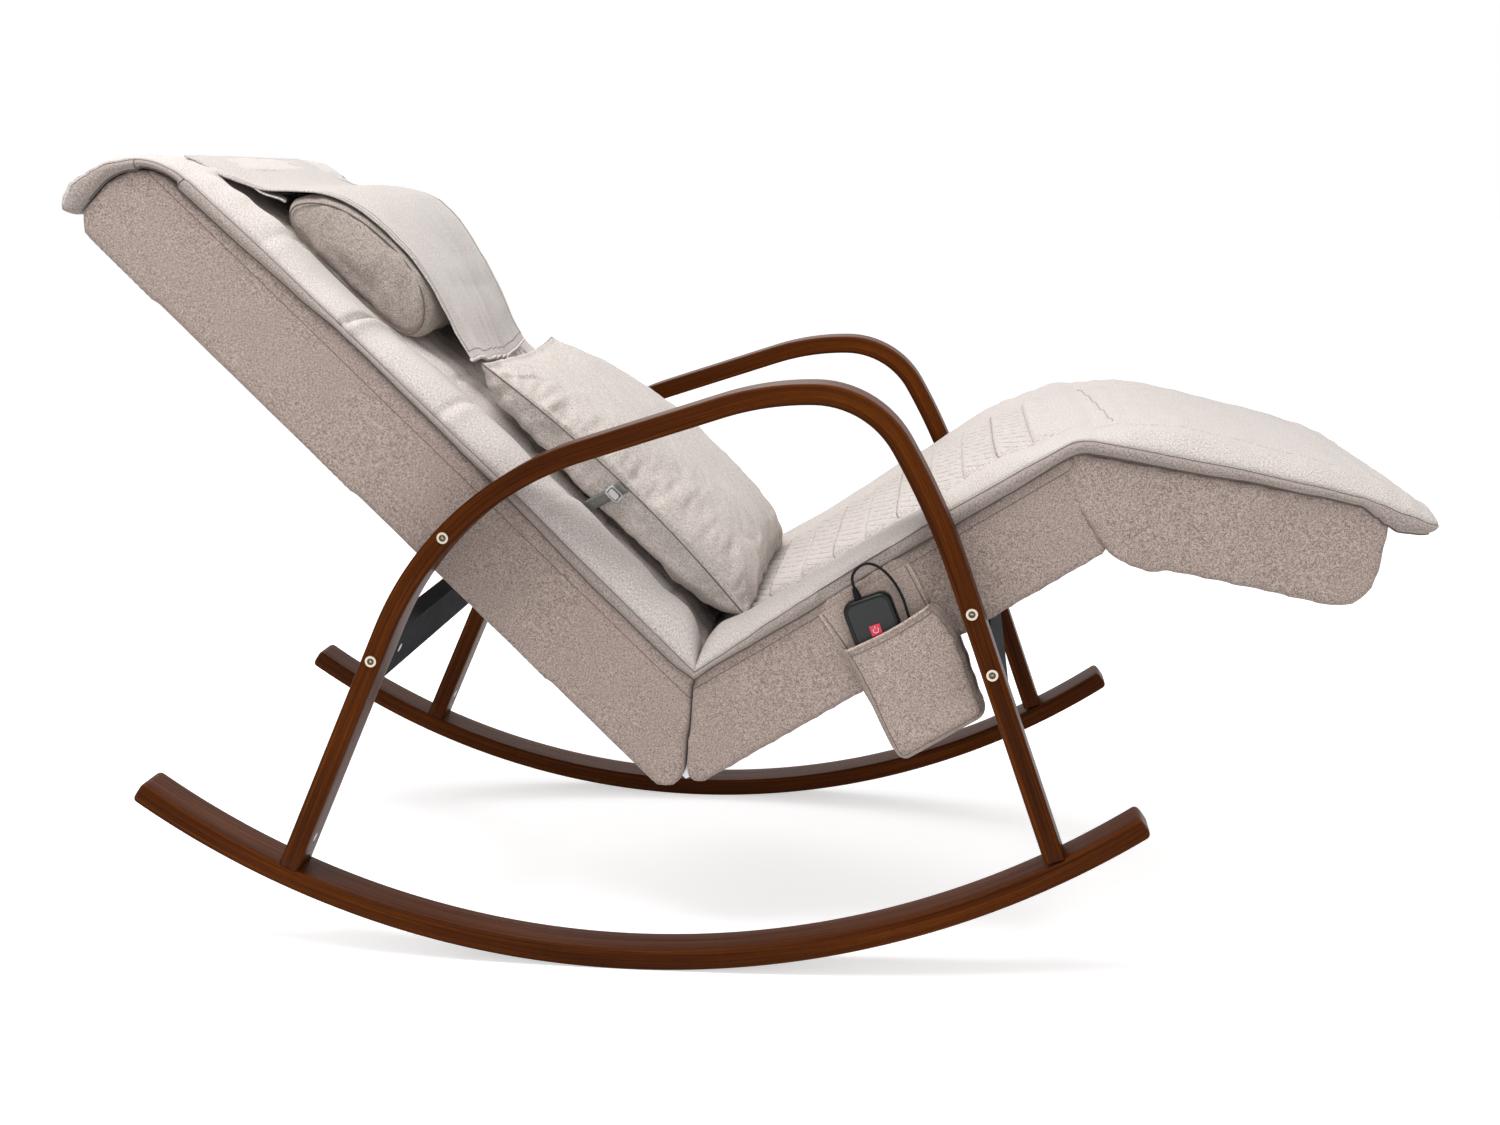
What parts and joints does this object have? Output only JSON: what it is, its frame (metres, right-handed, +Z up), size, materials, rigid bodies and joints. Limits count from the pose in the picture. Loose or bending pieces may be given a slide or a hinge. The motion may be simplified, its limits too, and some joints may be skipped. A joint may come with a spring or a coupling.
{
  "type": "rocking chair",
  "caption": "Upholstered rocking lounger on bentwood hoops and rockers, with a folding leg rest, loose head and lumbar pillows, a side pocket and a wired handset.",
  "frame": {"origin": "centre of the bounding box, at the floor under the rockers", "axes": "+X from the head end towards the leg rest, +Y to the sitter's left, +Z up"},
  "size_m": [1.476, 0.6648, 0.911],
  "materials": {
    "walnut_stain": "satin",
    "grey_paint": "satin",
    "motor_steel": "satin",
    "bolt_nickel": "satin",
    "zinc_steel": "satin",
    "plywood": "matte",
    "linen_side": "matte",
    "linen_pad": "matte",
    "linen_pillow": "matte",
    "seat_foam": "matte",
    "elastic_web": "matte",
    "strap_grey": "matte",
    "black_plastic": "satin",
    "grey_plastic": "satin",
    "key_red": "gloss",
    "key_white": "gloss",
    "board_green": "satin",
    "cord_black": "matte"
  },
  "bodies": {
    "frame": {"hoop_right": "walnut_stain", "hoop_left": "walnut_stain", "rocker_right": "walnut_stain", "rocker_left": "walnut_stain", "rear_cross_rail": "grey_paint", "front_cross_rail": "grey_paint", "rail_bolts": "bolt_nickel", "box_bolts": "bolt_nickel", "foot_bolts": "zinc_steel", "barrel_nuts": "zinc_steel", "box_inserts": "zinc_steel", "crease_brackets": "zinc_steel", "crease_bracket_bolts": "zinc_steel", "knee_hinge_seat_leaves": "zinc_steel", "knee_hinge_pins": "zinc_steel", "massage_motors": "motor_steel", "box_spacers": "black_plastic", "control_box": "black_plastic", "power_inlet": "black_plastic", "strap_buckle": "black_plastic", "cord_gland": "black_plastic", "back_side_board_right": "plywood", "back_side_board_left": "plywood", "back_top_rail": "plywood", "back_bottom_rail": "plywood", "seat_side_board_right": "plywood", "seat_side_board_left": "plywood", "seat_front_rail": "plywood", "seat_rear_rail": "plywood", "back_webbing": "elastic_web", "seat_webbing": "elastic_web", "back_foam": "seat_foam", "seat_foam": "seat_foam", "back_cover": "linen_side", "seat_cover": "linen_side", "knee_gusset": "linen_side", "pocket_back_panel": "linen_side", "pocket_pouch": "linen_side", "body_pad": "linen_pad", "head_pillow": "linen_pillow", "head_flap": "linen_pillow", "lumbar_pillow": "linen_pillow", "lumbar_strap": "strap_grey", "handset_cord": "cord_black"},
    "leg_rest": {"leg_cover": "linen_side", "leg_foam": "seat_foam", "leg_panel": "plywood", "leg_side_board_right": "plywood", "leg_side_board_left": "plywood", "leg_end_rail": "plywood", "knee_hinge_leg_leaves": "zinc_steel", "leg_pad": "linen_pad"},
    "handset": {"handset_front_case": "black_plastic", "handset_rear_case": "black_plastic", "handset_board": "board_green", "handset_strain_relief": "cord_black"},
    "power_key": {"handset_power_key": "key_red"},
    "level_key": {"handset_level_key": "key_white"}
  },
  "joints": [
    {"name": "knee_fold", "type": "hinge", "parent": "frame", "child": "leg_rest", "pos_m": [0.37789, 0, 0.5564], "axis": [0, 1, 0], "range_deg": [0, 50], "deforming": ["knee_gusset"]},
    {"name": "handset_lift", "type": "slide", "parent": "frame", "child": "handset", "axis": [-0.3584, 0, 0.9336], "range_m": [0, 0.05], "deforming": ["handset_cord"]},
    {"name": "power_press", "type": "slide", "parent": "handset", "child": "power_key", "axis": [0, 1, 0], "range_m": [0, 0.0008], "stiffness_N_per_m": 600},
    {"name": "level_press", "type": "slide", "parent": "handset", "child": "level_key", "axis": [0, 1, 0], "range_m": [0, 0.0008], "stiffness_N_per_m": 600}
  ]
}
